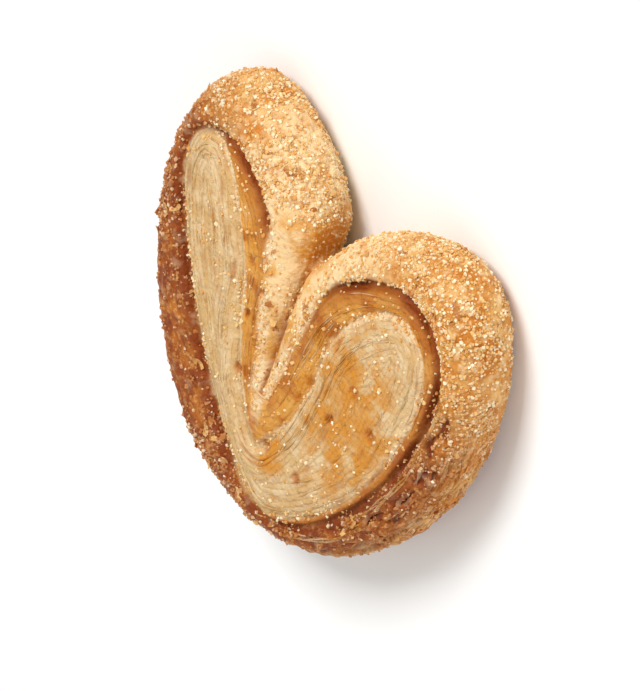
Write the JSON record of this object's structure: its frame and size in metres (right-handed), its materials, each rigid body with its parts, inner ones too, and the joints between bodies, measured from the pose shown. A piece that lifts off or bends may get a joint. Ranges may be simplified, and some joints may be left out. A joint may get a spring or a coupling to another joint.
{
  "type": "palmier pastry",
  "caption": "Heart-shaped slice of folded puff pastry with a cleft between two rolled lobes and a sugared, browned crust.",
  "frame": {"origin": "below the middle of the slice, on the surface that its back face lies on", "axes": "+X across the width towards the larger lobe, +Y from the heart's tip to its lobes, +Z out of the face that shows"},
  "size_m": [0.07, 0.0668, 0.0134],
  "materials": {
    "baked_crust": "golden baked dough: caramel-brown sugared skin, golden creases and pale cream folds; stands in for food"
  },
  "bodies": {
    "root": {"palmier_slice": "baked_crust"}
  },
  "joints": []
}
